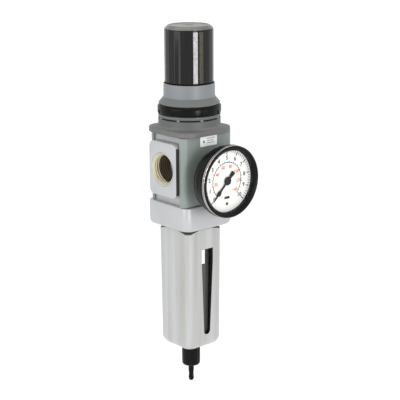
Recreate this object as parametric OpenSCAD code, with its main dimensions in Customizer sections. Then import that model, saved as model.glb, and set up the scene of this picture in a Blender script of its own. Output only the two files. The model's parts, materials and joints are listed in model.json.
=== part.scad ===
// Filter regulator for compressed air: adjusting knob and bonnet above, die-cast body with two
// pipe ports and a pressure gauge in the middle, filter bowl with a metal guard and drain below.
// Millimetres. Origin: centre of the drain spigot's lower end. +Z up the main axis.
// The gauge faces -Y, the inlet port faces -X and the outlet port faces +X.

/* [Drain] */
// Length of the drain spigot below the drain knob
spigot_length = 12.5; // [10:0.5:16]
// Radius of the drain spigot
spigot_radius = 2; // [1.8:0.1:2.4]
// Radius of the drain knob
drain_radius = 6.5; // [6:0.1:7.5]
// Height of the drain knob below the bowl guard
drain_height = 16; // [14:0.5:20]

/* [Bowl] */
// Height of the square bowl guard
guard_height = 87.8; // [84:0.1:92]
// Half the width of the bowl guard at its top
guard_half = 16; // [15.8:0.1:16.4]
// Half the width of the bowl guard at its foot
guard_foot_half = 15.4; // [15.2:0.1:15.8]
// Wall of the bowl guard
guard_wall = 1.7; // [1.4:0.1:1.9]
// Half the width of the square collar above the guard
collar_half = 21.2; // [20.8:0.1:22]
// Height of the collar
collar_height = 16.8; // [16.4:0.1:18]

/* [Body] */
// Height of the body between the collar and the bonnet
body_height = 47.9; // [47:0.1:50]
// Distance of each plastic cover's face from the main axis
cover_half = 19.5; // [19.4:0.1:20]
// Half the width of the front cover, which reaches round towards the ports
front_cover_half = 22; // [21:0.1:22.4]
// Thickness of the plastic covers
cover_wall = 1.4; // [1.2:0.1:1.5]
// Distance of each port face from the main axis
port_face = 24.2; // [23.5:0.1:26]
// Half the width of the port blocks
port_half = 14; // [13.6:0.1:14.4]
// Height of the port axis above the foot of the body
port_rise = 24.7; // [24:0.1:26]

/* [Gauge] */
// Height of the gauge axis above the foot of the body
gauge_rise = 19.7; // [19:0.1:21]
// Radius over the gauge bezel
bezel_radius = 24.6; // [24:0.1:25.2]
// Distance of the bezel's front from the main axis
gauge_front = 43; // [42.5:0.1:45]

/* [Bonnet and knob] */
// Half the width of the bonnet's square flange
flange_half = 22.8; // [22.4:0.1:23.4]
// Radius over the panel nut
panel_nut_radius = 21.6; // [21.4:0.1:22.2]
// Radius over the knob's skirt
knob_radius = 16.6; // [16.4:0.1:17.2]
// Height of the knob's skirt
knob_height = 36.3; // [35:0.1:38]
// Downward travel of the knob that locks it
lock_travel = 1.6; // [1.4:0.1:1.8]

/* [Hidden] */
$fn = 64;

// Heights of the main steps, from the drain up
knob_z0 = spigot_length;
guard_z0 = knob_z0 + drain_height;
guard_z1 = guard_z0 + guard_height;
collar_z0 = guard_z1 + 1.2;
body_z0 = collar_z0 + collar_height;
body_z1 = body_z0 + body_height;
flange_z1 = body_z1 + 3.8;
neck_z0 = body_z1 + 9.8;
nut_z0 = neck_z0 + 3.4;
nut_z1 = nut_z0 + 5.9;
shroud_z0 = nut_z1 + 0.5;
shroud_z1 = shroud_z0 + 11.7;
chamber_z1 = shroud_z1 + 18.5;
skirt_z0 = shroud_z1 + 2;
skirt_z1 = skirt_z0 + knob_height;
port_z = body_z0 + port_rise;
gauge_z = body_z0 + gauge_rise;

// Running clearance of shafts and guides, and the looser gap of parts that only pass
run_gap = 0.05;
free_gap = 0.25;

// Casting and ports: a G 1/2 thread's minor radius is the bore of each insert
casting_half = cover_half - cover_wall - run_gap;
port_block_z0 = port_z - 18.5;
port_block_z1 = port_z + 18.5;
thread_minor = 9.3;
insert_radius = 11.6;
insert_length = 15;
gauge_bore = 4.28;
gauge_bore_depth = 8.5;
valve_bore = 7.5;
chamber_radius = 15.5;
skirt_radius = 17.2;
skirt_bore = 15;
skirt_drop = 5.9;
screw_place = 14.6;
screw_radius = 1.5;

// Bowl neck and bayonet
neck_radius = 17;
lug_radius = 18.6;
lug_z0 = collar_z0 + 6.4;
lug_height = 3.2;
bowl_radius = 13.3;
bowl_wall = 1.4;

// Adjusting gear in the bonnet
spring_bore = 11.5;
screw_core = 4;
seat_z = body_z1 + 2.6;
spring_nut_z0 = chamber_z1 - 13;

// Gauge works, measured forward from the main axis
case_back = 27;
dial_y = gauge_front - 5.6;
works_y = gauge_front - 10;
gear_module = 0.25;
pinion_teeth = 12;
sector_teeth = 60;
gear_centres = gear_module * (pinion_teeth + sector_teeth) / 2;
pointer_rest = 225;

// ---------- shared shapes ----------

// Oblong of half-widths half_x and half_y with corners of radius r
module rounded_oblong(half_x, half_y, r) {
    square([2 * half_x, 2 * (half_y - r)], center = true);
    square([2 * (half_x - r), 2 * half_y], center = true);
    for (x = [-1, 1], y = [-1, 1])
        translate([x * (half_x - r), y * (half_y - r)])
            circle(r = r);
}

// Upright block on a rounded square, from height z0 to z1
module rounded_block(half, r, z0, z1) {
    translate([0, 0, z0])
        linear_extrude(height = z1 - z0)
            rounded_oblong(half, half, r);
}

// Upright cylinder from height z0 to z1
module post(r, z0, z1) {
    translate([0, 0, z0])
        cylinder(r = r, h = z1 - z0);
}

// Upright ring from height z0 to z1
module ring(r_out, r_in, z0, z1) {
    difference() {
        post(r_out, z0, z1);
        post(r_in, z0 - 1, z1 + 1);
    }
}

// Round seal: a torus about the main axis at height z
module seal(r_mean, r_cord, z) {
    translate([0, 0, z])
        rotate_extrude()
            translate([r_mean, 0])
                circle(r = r_cord);
}

// Children drawn along +Z are turned to point along -Y from the gauge axis
module on_gauge_axis() {
    translate([0, 0, gauge_z])
        rotate([90, 0, 0])
            children();
}

// Round wire wound into an open coil between the two heights
module coil(r, wire, turns, z0, z1) {
    steps = 22;
    sides = 8;
    rings = turns * steps;
    rise = z1 - z0 - 2 * wire;
    points = [for (i = [0:rings], k = [0:sides - 1])
        let (a = 360 * i / steps, b = 360 * k / sides, reach = r + wire * cos(b))
        [reach * cos(a), reach * sin(a), z0 + wire + rise * i / rings + wire * sin(b)]];
    faces = concat(
        [[for (k = [0:sides - 1]) k]],
        [for (i = [0:rings - 1], k = [0:sides - 1])
            let (n = (k + 1) % sides)
            [i * sides + k, (i + 1) * sides + k, (i + 1) * sides + n, i * sides + n]],
        [[for (k = [sides - 1:-1:0]) rings * sides + k]]);
    polyhedron(points = points, faces = faces, convexity = 10);
}

// Flat gear teeth round the origin: outer tips, straight flanks, spaced for play
module teeth(count, shown, first) {
    pitch = gear_module * count / 2;
    for (i = [0:shown - 1])
        rotate(first + i * 360 / count)
            polygon([[pitch - 1.4 * gear_module, -0.75 * gear_module],
                [pitch + 0.8 * gear_module, -0.32 * gear_module],
                [pitch + 0.8 * gear_module, 0.32 * gear_module],
                [pitch - 1.4 * gear_module, 0.75 * gear_module]]);
}

// ---------- body ----------

module port_block() {
    cut = 3;
    low = port_block_z0;
    high = port_block_z1;
    translate([-port_face, 0, 0])
        rotate([90, 0, 90])
            linear_extrude(height = 2 * port_face)
                polygon([[-port_half + cut, low], [port_half - cut, low], [port_half, low + cut],
                    [port_half, high - cut], [port_half - cut, high], [-port_half + cut, high],
                    [-port_half, high - cut], [-port_half, low + cut]]);
}

module body_casting() {
    passage = 12.2;
    color("gainsboro")
        difference() {
            union() {
                rounded_block(casting_half, 3, body_z0, body_z1);
                port_block();
                ring(skirt_radius, skirt_bore, body_z0 - skirt_drop, body_z0 + 1);
            }
            // Bowl mouth, valve bore and the chamber under the diaphragm
            post(skirt_bore, body_z0 - 0.1, body_z0 + 2);
            post(14, body_z0 - 0.1, body_z0 + 9);
            post(valve_bore, body_z0 - 0.1, port_z + 8);
            post(4.2, body_z0, body_z1);
            post(chamber_radius, body_z1 - 4, body_z1 + 1);
            // Port sockets and the passages that join them to the bowl and the chamber
            for (side = [-1, 1])
                translate([side * (port_face - insert_length), 0, port_z])
                    rotate([0, side * 90, 0])
                        cylinder(r = insert_radius, h = insert_length + 1);
            translate([-passage, 0, 0])
                post(3, body_z0, port_z);
            translate([passage, 0, 0])
                post(3, port_z, body_z1);
            // Gauge ports at the front and the back, each fed from the chamber above
            for (side = [-1, 1]) {
                translate([0, side * (casting_half - gauge_bore_depth), gauge_z])
                    rotate([-side * 90, 0, 0])
                        cylinder(r = gauge_bore, h = gauge_bore_depth + 1);
                translate([0, side * (casting_half - gauge_bore_depth + 2), 0])
                    post(1.2, gauge_z, body_z1);
            }
            // Screw holes, counterbored from below
            for (x = [-1, 1], y = [-1, 1])
                translate([x * screw_place, y * screw_place, 0]) {
                    post(screw_radius + run_gap, body_z0 - 1, body_z1 + 1);
                    post(3, body_z0 - 1, body_z0 + 3.6);
                }
        }
}

// Brass thread insert of one port; side is -1 at the inlet and 1 at the outlet
module thread_insert(side) {
    color("darkkhaki")
        translate([side * (port_face - insert_length), 0, port_z])
            rotate([0, side * 90, 0])
                difference() {
                    cylinder(r = insert_radius, h = insert_length);
                    translate([0, 0, -1])
                        cylinder(r = thread_minor, h = insert_length + 2);
                }
}

module inlet_thread_insert() {
    thread_insert(-1);
}

module outlet_thread_insert() {
    thread_insert(1);
}

// Plastic cover clipped over one side of the casting, with a hole for the gauge port
module side_cover(side, half_x) {
    reach = 15;
    difference() {
        cover_block(half_x, cover_half, 4, body_z0 + 0.6, body_z1 - 0.1);
        cover_block(half_x - cover_wall, cover_half - cover_wall, 3, body_z0 - 1, body_z1 + 1);
        translate([-30, side > 0 ? -60 + port_half + 0.7 : -port_half - 0.7, body_z0 - 1])
            cube([60, 60, body_height + 2]);
        translate([0, side * reach, gauge_z])
            rotate([-side * 90, 0, 0])
                cylinder(r = 7.4, h = 10);
    }
}

// Upright block on a rounded oblong, from height z0 to z1
module cover_block(half_x, half_y, r, z0, z1) {
    translate([0, 0, z0])
        linear_extrude(height = z1 - z0)
            rounded_oblong(half_x, half_y, r);
}

module front_cover() {
    color("gray")
        side_cover(-1, front_cover_half);
}

module rear_cover() {
    color("gray")
        side_cover(1, cover_half);
}

module label_plate() {
    label_height = 7.1;
    color("white")
        translate([-7.4, -cover_half - 0.3, body_z1 - label_height - 0.2])
            cube([14.8, 0.3, label_height]);
}

// ---------- bonnet and adjusting gear ----------

module bonnet() {
    corner = 11;
    dome_half = panel_nut_radius - 0.4;
    rib = 1.2;
    color("dimgray")
        difference() {
            union() {
                rounded_block(flange_half, corner, body_z1, flange_z1);
                hull() {
                    rounded_block(flange_half - 1.2, corner - 1.2, flange_z1 - 0.01, flange_z1 + 0.2, $fn = 32);
                    post(dome_half, flange_z1 + 1.2, flange_z1 + 1.4, $fn = 32);
                }
                post(dome_half, flange_z1, neck_z0);
                post(19.8, neck_z0 - 1, shroud_z0);
                post(14.2, neck_z0, chamber_z1);
                // Lock teeth on the crown
                for (i = [0:11])
                    rotate(i * 30)
                        translate([9, -0.6, chamber_z1 - 0.1])
                            cube([3.6, 1.2, 1.3]);
            }
            post(17.6, body_z1 - 1, body_z1 + 1);
            post(chamber_radius, body_z1, body_z1 + 6);
            difference() {
                post(spring_bore, body_z1, chamber_z1 - 3);
                // Two guide ribs that keep the spring nut from turning
                for (side = [-1, 1])
                    translate([side * spring_bore, 0, body_z1 + 8 + body_height / 2])
                        cube([rib + 2, 2 * rib, body_height], center = true);
            }
            post(screw_core + run_gap, chamber_z1 - 4, chamber_z1 + 2);
            for (x = [-1, 1], y = [-1, 1])
                translate([x * screw_place, y * screw_place, 0])
                    post(screw_radius, body_z1 - 1, body_z1 + 3.4);
        }
}

module neck_spacer() {
    color("darkgray")
        ring(panel_nut_radius - 0.4, 19.85, neck_z0 + 0.05, nut_z0 - 0.4);
}

module panel_nut() {
    color("black")
        difference() {
            post(panel_nut_radius, nut_z0, nut_z1);
            post(19.85, nut_z0 - 1, nut_z1 + 1);
            for (i = [0:7])
                rotate(i * 45 + 22.5)
                    translate([panel_nut_radius - 0.7, -1.5, nut_z0 - 1])
                        cube([2, 3, 3]);
        }
}

// Sleeve round the bonnet's neck; its rim hides the lower edge of the knob, which can drop into it
module shroud() {
    rim_radius = 17.4;
    rim_gap = 0.15;
    rim_z1 = skirt_z0 + 0.1;
    color("darkgray")
        difference() {
            union() {
                translate([0, 0, shroud_z0])
                    cylinder(r1 = panel_nut_radius - 0.7, r2 = rim_radius + 0.3, h = 4.2);
                post(rim_radius, shroud_z0 + 4.2, rim_z1);
            }
            post(14.25, shroud_z0 - 1, rim_z1 + 1);
            post(knob_radius + rim_gap, shroud_z1 - 0.1, rim_z1 + 1);
        }
}

module bonnet_screws() {
    color("silver")
        for (x = [-1, 1], y = [-1, 1])
            translate([x * screw_place, y * screw_place, 0]) {
                post(screw_radius, body_z0 + 3, body_z1 + 3.2);
                difference() {
                    post(2.8, body_z0 + 0.8, body_z0 + 3.6);
                    translate([0, 0, body_z0 - 1])
                        cylinder(r = 1.3, h = 3.4, $fn = 6);
                }
            }
}

module adjusting_screw() {
    hex_radius = 4.2;
    color("silver")
        union() {
            post(screw_core - 0.05, spring_nut_z0 - 16, chamber_z1 + 0.06);
            post(6.5, chamber_z1 - 5.2, chamber_z1 - 3.1);
            translate([0, 0, chamber_z1 + 0.03])
                cylinder(r = hex_radius, h = 11.8, $fn = 6);
        }
}

module adjusting_knob() {
    // The grip has shallow flats
    flats = 24;
    bore = 14.6;
    socket = 4.28;
    // The web stands just clear of the crown when the knob is pushed down
    web_z0 = chamber_z1 + lock_travel + 0.1;
    color("black")
        difference() {
            translate([0, 0, skirt_z0])
                rotate(12)
                    cylinder(r = knob_radius, h = knob_height, $fn = flats);
            post(bore, skirt_z0 - 1, web_z0);
            ring(bore, 12.9, web_z0 - 0.1, skirt_z1 - 4);
            translate([0, 0, skirt_z0])
                cylinder(r = socket, h = knob_height - 6, $fn = 6);
            // Tooth spaces that drop over the bonnet's lock teeth
            for (i = [0:11])
                rotate(i * 30)
                    translate([8.6, -0.95, web_z0 - 0.1])
                        cube([4.4, 1.9, lock_travel]);
            // Seat of the cap
            post(knob_radius - 1.6, skirt_z1 - 2.2, skirt_z1 + 1);
        }
}

module knob_cap() {
    color("silver")
        union() {
            post(knob_radius - 1.65, skirt_z1 - 2.2, skirt_z1 + 0.01);
            translate([0, 0, skirt_z1])
                cylinder(r1 = knob_radius - 0.3, r2 = knob_radius - 2.7, h = 2.4);
        }
}

module spring_nut() {
    color("goldenrod")
        difference() {
            union() {
                post(spring_bore - 0.2, spring_nut_z0, spring_nut_z0 + 3);
                post(6.6, spring_nut_z0 - 4, spring_nut_z0 + 6);
            }
            post(screw_core, spring_nut_z0 - 5, spring_nut_z0 + 7);
            for (side = [-1, 1])
                translate([side * (spring_bore - 0.2) - 2.2, -1.5, spring_nut_z0 - 1])
                    cube([4.4, 3, 5]);
        }
}

module spring_washer() {
    color("silver")
        ring(9.4, 6.7, spring_nut_z0 - 0.8, spring_nut_z0);
}

module regulating_spring() {
    color("steelblue")
        coil(8.1, 1.1, 6, seat_z, spring_nut_z0 - 0.8);
}

// ---------- diaphragm and valve ----------

module diaphragm() {
    color("saddlebrown")
        union() {
            ring(17.5, 13.4, body_z1, body_z1 + 1);
            // Rolled fold between the clamped rim and the plates
            translate([0, 0, body_z1 + 0.5])
                rotate_extrude()
                    translate([12.6, 0])
                        difference() {
                            circle(r = 1.4);
                            circle(r = 0.6);
                            translate([-2, -3])
                                square([4, 2.5]);
                        }
            ring(11.8, 3.05, body_z1, body_z1 + 1);
        }
}

module diaphragm_hub() {
    color("silver")
        difference() {
            union() {
                post(10.2, body_z1 - 1.4, body_z1);
                post(3, body_z1 - 4, seat_z + 1.6);
            }
            post(0.9, body_z1 - 5, seat_z + 2);
        }
}

module spring_seat() {
    color("silver")
        difference() {
            union() {
                post(10.6, body_z1 + 1, seat_z);
                post(6.4, seat_z - 0.1, seat_z + 1.6);
            }
            post(3, body_z1, seat_z + 2);
        }
}

module valve_seat() {
    color("goldenrod")
        ring(valve_bore, 3.6, port_z + 5, port_z + 8);
}

module valve_poppet() {
    color("goldenrod")
        union() {
            post(5.4, port_z + 1, port_z + 3.4);
            post(2.4, port_z - 11.5, port_z + 1.1);
            post(1.5, port_z + 3, body_z1 - 4);
        }
}

module valve_disc() {
    color("black")
        ring(5.4, 1.5, port_z + 3.4, port_z + 4.9);
}

module valve_guide() {
    color("ivory")
        difference() {
            post(valve_bore - 0.05, port_z - 16, port_z - 8);
            post(2.45, port_z - 13, port_z - 7);
            for (i = [0:3])
                rotate(i * 90 + 45)
                    translate([5, 0, 0])
                        post(1.3, port_z - 17, port_z - 7);
        }
}

module valve_spring() {
    color("silver")
        coil(3.6, 0.45, 5, port_z - 8, port_z + 1);
}

// ---------- gauge ----------

module gauge_stem() {
    color("goldenrod")
        on_gauge_axis()
            union() {
                translate([0, 0, casting_half - gauge_bore_depth + 0.5])
                    cylinder(r = gauge_bore - 0.03, h = case_back - casting_half + gauge_bore_depth + 1);
                translate([0, 0, cover_half + 0.6])
                    cylinder(r = 7, h = case_back - cover_half - 0.6, $fn = 6);
                // Block inside the case that carries the tube
                translate([-4, -17.4, case_back + 1.5])
                    cube([8, 20.2, 2.6]);
                translate([-3, -18.2, case_back + 3])
                    cube([6, 4, 4.5]);
            }
}

module gauge_case() {
    color("black")
        on_gauge_axis()
            rotate_extrude()
                polygon([[4.3, case_back], [18.6, case_back], [22, case_back + 2.2], [23.2, case_back + 6],
                    [23.2, gauge_front - 3.4], [21.7, gauge_front - 3.4], [21.7, case_back + 6],
                    [20.8, case_back + 3.4], [18, case_back + 1.5], [4.3, case_back + 1.5]]);
}

module gauge_bezel() {
    color("black")
        on_gauge_axis()
            rotate_extrude()
                polygon([[23.3, gauge_front - 5.6], [24.2, gauge_front - 5.6], [bezel_radius, gauge_front - 5],
                    [bezel_radius, gauge_front - 0.8], [bezel_radius - 0.8, gauge_front],
                    [22.4, gauge_front], [20.9, gauge_front - 1.6], [20.9, gauge_front - 2],
                    [23.3, gauge_front - 2]]);
}

module gauge_lens() {
    color("lightcyan", 0.3)
        on_gauge_axis()
            translate([0, 0, gauge_front - 3.4])
                cylinder(r = 23.2, h = 1.3);
}

module gauge_dial() {
    color("white")
        on_gauge_axis()
            translate([0, 0, dial_y])
                difference() {
                    cylinder(r = 21.5, h = 0.5);
                    translate([0, 0, -1])
                        cylinder(r = 1.4, h = 3);
                }
}

module movement_frame() {
    color("goldenrod")
        on_gauge_axis()
            difference() {
                union() {
                    for (y = [works_y - 1.9, works_y + 2.3])
                        translate([-5.5, -13, y])
                            cube([11, 17, 0.7]);
                    for (place = [[-4.2, 2.6], [4.2, 2.6], [-4.2, -11.8]])
                        translate([place[0], place[1], works_y - 1.9])
                            cylinder(r = 0.7, h = 4.9);
                }
                for (z = [0, -gear_centres])
                    translate([0, z, case_back])
                        cylinder(r = 0.56, h = 20);
            }
}

module bourdon_tube() {
    color("darkgoldenrod")
        on_gauge_axis()
            translate([0, 0, works_y - 0.5])
                rotate(-84)
                    rotate_extrude(angle = 250)
                        translate([16.4, 0])
                            circle(r = 1.3);
}

module sector_gear() {
    reach = gear_module * sector_teeth / 2;
    spread = 78;
    color("goldenrod")
        on_gauge_axis()
            translate([0, -gear_centres, works_y])
                union() {
                    linear_extrude(height = 1)
                        union() {
                            intersection() {
                                difference() {
                                    circle(r = reach - 1.3 * gear_module);
                                    circle(r = reach - 1.6);
                                }
                                polygon([[0, 0], [-3, 20], [24, 20], [24, -1]]);
                            }
                            rotate(90 - spread)
                                teeth(sector_teeth, 15, 0);
                            rotate(54)
                                translate([0, -0.6])
                                    square([reach - 1, 1.2]);
                            circle(r = 1.3);
                        }
                    translate([0, 0, -1.8])
                        cylinder(r = 0.5, h = 4.4);
                }
}

module pointer_pinion() {
    color("goldenrod")
        on_gauge_axis()
            union() {
                translate([0, 0, works_y - 0.4])
                    linear_extrude(height = 1.8)
                        union() {
                            circle(r = gear_module * pinion_teeth / 2 - 1.3 * gear_module);
                            teeth(pinion_teeth, pinion_teeth, -75);
                        }
                translate([0, 0, works_y - 1.8])
                    cylinder(r = 0.5, h = dial_y - works_y + 3);
            }
}

module gauge_pointer() {
    color("black")
        on_gauge_axis()
            translate([0, 0, dial_y + 1.1])
                difference() {
                    union() {
                        rotate(-pointer_rest)
                            linear_extrude(height = 0.4)
                                polygon([[-0.35, 17.5], [0.35, 17.5], [1, 0], [1.2, -6.5], [-1.2, -6.5], [-1, 0]]);
                        cylinder(r = 2.2, h = 0.8);
                    }
                    translate([0, 0, -1])
                        cylinder(r = 0.5, h = 1.3);
                }
}

module gauge_port_plug() {
    color("silver")
        translate([0, 0, gauge_z])
            rotate([-90, 0, 0])
                difference() {
                    union() {
                        translate([0, 0, casting_half - gauge_bore_depth + 1])
                            cylinder(r = gauge_bore - 0.03, h = gauge_bore_depth - 1);
                        translate([0, 0, casting_half])
                            cylinder(r = 6.6, h = 2.4);
                    }
                    translate([0, 0, casting_half - 2])
                        cylinder(r = 2.9, h = 6, $fn = 6);
                }
}

module plug_seal() {
    color("black")
        translate([0, casting_half + 0.45, gauge_z])
            rotate([90, 0, 0])
                difference() {
                    cylinder(r = 7.3, h = 0.4);
                    translate([0, 0, -1])
                        cylinder(r = 6.7, h = 3);
                }
}

// ---------- filter bowl ----------

module bowl_collar() {
    groove_radius = lug_radius + 0.3;
    slot_width = 11;
    color("gainsboro")
        difference() {
            rounded_block(collar_half, 5, collar_z0, body_z0);
            post(neck_radius + free_gap, collar_z0 - 1, body_z0 - skirt_drop + 0.01);
            post(skirt_radius + run_gap, body_z0 - skirt_drop, body_z0 + 1);
            // Bayonet groove, with four ways in that stand at the corners
            post(groove_radius, lug_z0 - 0.3, lug_z0 + lug_height + 0.8);
            intersection() {
                post(groove_radius, collar_z0 - 1, lug_z0 + 1);
                for (i = [0:3])
                    rotate(i * 90 + 45)
                        translate([0, -slot_width / 2, collar_z0 - 1])
                            cube([30, slot_width, collar_height]);
            }
        }
}

// The guard's outline, shrunk by inset, from its rounded foot to its top
module guard_shape(inset, z0, z1) {
    foot = 6;
    steps = 6;
    hull() {
        for (i = [0:steps]) {
            angle = 90 * i / steps;
            rounded_block(guard_foot_half - inset - foot * (1 - sin(angle)), 4.5, z0 + foot * (1 - cos(angle)),
                z0 + foot * (1 - cos(angle)) + 0.01, $fn = 32);
        }
        rounded_block(guard_half - inset, 4.5, z1 - 0.01, z1, $fn = 32);
    }
}

module bowl_guard() {
    slot_x = 1.2;
    slot_top = guard_z0 + 73;
    slot_foot = guard_z0 + 13;
    lug_width = 8;
    color("lightgray")
        difference() {
            union() {
                difference() {
                    guard_shape(0, guard_z0, guard_z1);
                    guard_shape(guard_wall, guard_z0 + 3, guard_z1 - 3);
                }
                post(neck_radius, guard_z1 - 0.1, lug_z0 + lug_height + 0.4);
                intersection() {
                    post(lug_radius, lug_z0, lug_z0 + lug_height);
                    for (i = [0:1])
                        rotate(i * 90)
                            translate([-30, -lug_width / 2, lug_z0])
                                cube([60, lug_width, lug_height]);
                }
            }
            post(bowl_radius + 0.1, guard_z0 + 6, lug_z0 + 9);
            translate([0, 0, guard_z0 + 3])
                cylinder(r1 = bowl_radius - 3.6, r2 = bowl_radius + 0.1, h = 6);
            post(5.2, guard_z0 - 1, guard_z0 + 9);
            // Sight slot in the front, tapered towards its foot and stepped at its head
            translate([slot_x, 0, 0])
                rotate([90, 0, 0])
                    linear_extrude(height = 30)
                        union() {
                            polygon([[-2.3, slot_foot], [3.3, slot_foot], [5.7, slot_top - 10], [5.7, slot_top],
                                [-1.8, slot_top], [-1.8, slot_top - 10], [-4.4, slot_top - 10]]);
                            translate([0.5, slot_foot])
                                circle(r = 2.8);
                        }
        }
}

module sight_bowl() {
    foot = guard_z0 + 3.2;
    mouth = body_z0 - 1;
    color("darkslategray", 0.6)
        difference() {
            union() {
                post(bowl_radius - 4, foot, foot + 3);
                translate([0, 0, foot + 3])
                    cylinder(r1 = bowl_radius - 3, r2 = bowl_radius, h = 6);
                post(bowl_radius, foot + 9, mouth);
                post(skirt_bore - free_gap, lug_z0 + lug_height + 0.6, mouth);
            }
            translate([0, 0, foot + 3])
                cylinder(r1 = bowl_radius - bowl_wall - 3, r2 = bowl_radius - bowl_wall, h = 6.01);
            post(bowl_radius - bowl_wall, foot + 9, mouth + 1);
            post(5.2, foot - 1, foot + 4);
            // Groove of the bowl seal
            ring(skirt_bore + 1, 13.1, mouth - 3.4, mouth - 1.4);
        }
}

module bowl_seal() {
    color("black")
        seal(14.05, 0.9, body_z0 - 3.4);
}

module swirl_vane() {
    base = body_z0 + 1;
    color("ivory")
        union() {
            ring(13.8, valve_bore + 0.2, base + 4, base + 6);
            for (i = [0:11])
                rotate(i * 30)
                    translate([10.6, 0, base + 2])
                        rotate([35, 0, 0])
                            cube([5, 0.8, 5], center = true);
            ring(9, valve_bore + 0.2, base - 7, base + 4.1);
        }
}

module filter_element() {
    color("white")
        ring(9.6, 7.4, body_z0 - 44, body_z0 - 7.2);
}

module filter_gaskets() {
    color("black")
        for (z = [body_z0 - 45, body_z0 - 7.2])
            ring(9.4, 7.5, z, z + 1);
}

module element_baffle() {
    foot = body_z0 - 47;
    color("ivory")
        difference() {
            union() {
                translate([0, 0, foot])
                    cylinder(r1 = 11, r2 = 9.8, h = 2);
                post(3.4, foot, foot + 20);
                post(2.2, foot, port_z - 16);
            }
            for (i = [0:5])
                rotate(i * 60)
                    translate([11, 0, foot - 1])
                        cylinder(r = 1.4, h = 4);
        }
}

// ---------- drain ----------

module drain_bush() {
    color("black")
        difference() {
            union() {
                post(5.1, guard_z0 + 0.1, guard_z0 + 12);
                post(7.4, guard_z0 + 6.3, guard_z0 + 8);
            }
            post(3, guard_z0 - 1, guard_z0 + 13);
        }
}

module drain_knob() {
    color("black")
        difference() {
            union() {
                translate([0, 0, knob_z0])
                    cylinder(r1 = 4.6, r2 = drain_radius, h = 2.6);
                post(drain_radius, knob_z0 + 2.6, guard_z0 - 0.3);
                post(2.95, guard_z0 - 0.4, guard_z0 + 11);
            }
            post(1, knob_z0 - 1, guard_z0 + 9);
            post(spigot_radius - 0.4, knob_z0 - 1, knob_z0 + 6);
            for (i = [0:11])
                rotate(i * 30)
                    translate([drain_radius + 0.5, 0, knob_z0 + 4])
                        cylinder(r = 1, h = 9);
            translate([0, 0, guard_z0 + 9.8])
                ring(4, 2.2, -0.6, 0.6);
        }
}

module drain_spigot() {
    color("black")
        union() {
            ring(spigot_radius, 1, 0, knob_z0);
            ring(spigot_radius - 0.4, 1, knob_z0 - 0.1, knob_z0 + 6);
        }
}

module drain_seal() {
    color("dimgray")
        seal(2.56, 0.34, guard_z0 + 9.8);
}

body_casting();
inlet_thread_insert();
outlet_thread_insert();
front_cover();
rear_cover();
label_plate();
bonnet();
neck_spacer();
shroud();
bonnet_screws();
diaphragm();
valve_seat();
valve_guide();
valve_spring();
regulating_spring();
gauge_stem();
gauge_case();
gauge_bezel();
gauge_lens();
gauge_dial();
movement_frame();
bourdon_tube();
gauge_port_plug();
plug_seal();
bowl_collar();
swirl_vane();
filter_element();
filter_gaskets();
element_baffle();
adjusting_screw();
adjusting_knob();
knob_cap();
spring_nut();
spring_washer();
diaphragm_hub();
spring_seat();
valve_poppet();
valve_disc();
panel_nut();
bowl_guard();
sight_bowl();
bowl_seal();
drain_bush();
drain_knob();
drain_spigot();
drain_seal();
sector_gear();
gauge_pointer();
pointer_pinion();
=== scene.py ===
import json
import math

import bmesh
import bpy
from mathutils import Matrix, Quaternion, Vector

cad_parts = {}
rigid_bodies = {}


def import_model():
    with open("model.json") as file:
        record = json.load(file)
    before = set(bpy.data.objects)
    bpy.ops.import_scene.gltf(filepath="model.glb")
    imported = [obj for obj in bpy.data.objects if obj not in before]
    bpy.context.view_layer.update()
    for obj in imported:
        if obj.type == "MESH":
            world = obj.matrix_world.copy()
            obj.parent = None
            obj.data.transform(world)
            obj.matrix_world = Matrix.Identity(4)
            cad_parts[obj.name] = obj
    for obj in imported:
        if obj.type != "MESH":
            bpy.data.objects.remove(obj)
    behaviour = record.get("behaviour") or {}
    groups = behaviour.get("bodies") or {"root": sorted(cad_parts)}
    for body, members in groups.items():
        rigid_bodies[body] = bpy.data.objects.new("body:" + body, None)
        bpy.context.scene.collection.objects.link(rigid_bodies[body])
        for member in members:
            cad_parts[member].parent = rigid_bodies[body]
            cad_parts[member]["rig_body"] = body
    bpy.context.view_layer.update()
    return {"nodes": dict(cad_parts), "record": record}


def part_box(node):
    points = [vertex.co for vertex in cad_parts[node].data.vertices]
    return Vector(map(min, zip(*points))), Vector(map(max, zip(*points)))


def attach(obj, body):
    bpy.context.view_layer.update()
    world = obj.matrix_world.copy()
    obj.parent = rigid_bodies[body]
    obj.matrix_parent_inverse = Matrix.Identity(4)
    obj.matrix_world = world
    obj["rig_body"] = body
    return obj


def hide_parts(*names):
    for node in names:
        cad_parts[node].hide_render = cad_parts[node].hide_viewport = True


# Looks of a compressed-air filter regulator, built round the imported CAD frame.
# Lengths are in millimetres until a mesh is made, which is where they become metres.

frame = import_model()
MM = 0.001
TAU = 2 * math.pi
AXIS = 0.01  # radius at which a turned path meets its axis
scene = bpy.context.scene
slot_of = {part["node"]: part["material_slot"] for part in frame["record"]["subparts"]}


def span(node):
    """Lowest and highest corner of a CAD node, in millimetres."""
    low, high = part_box(node)
    return low / MM, high / MM


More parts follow.
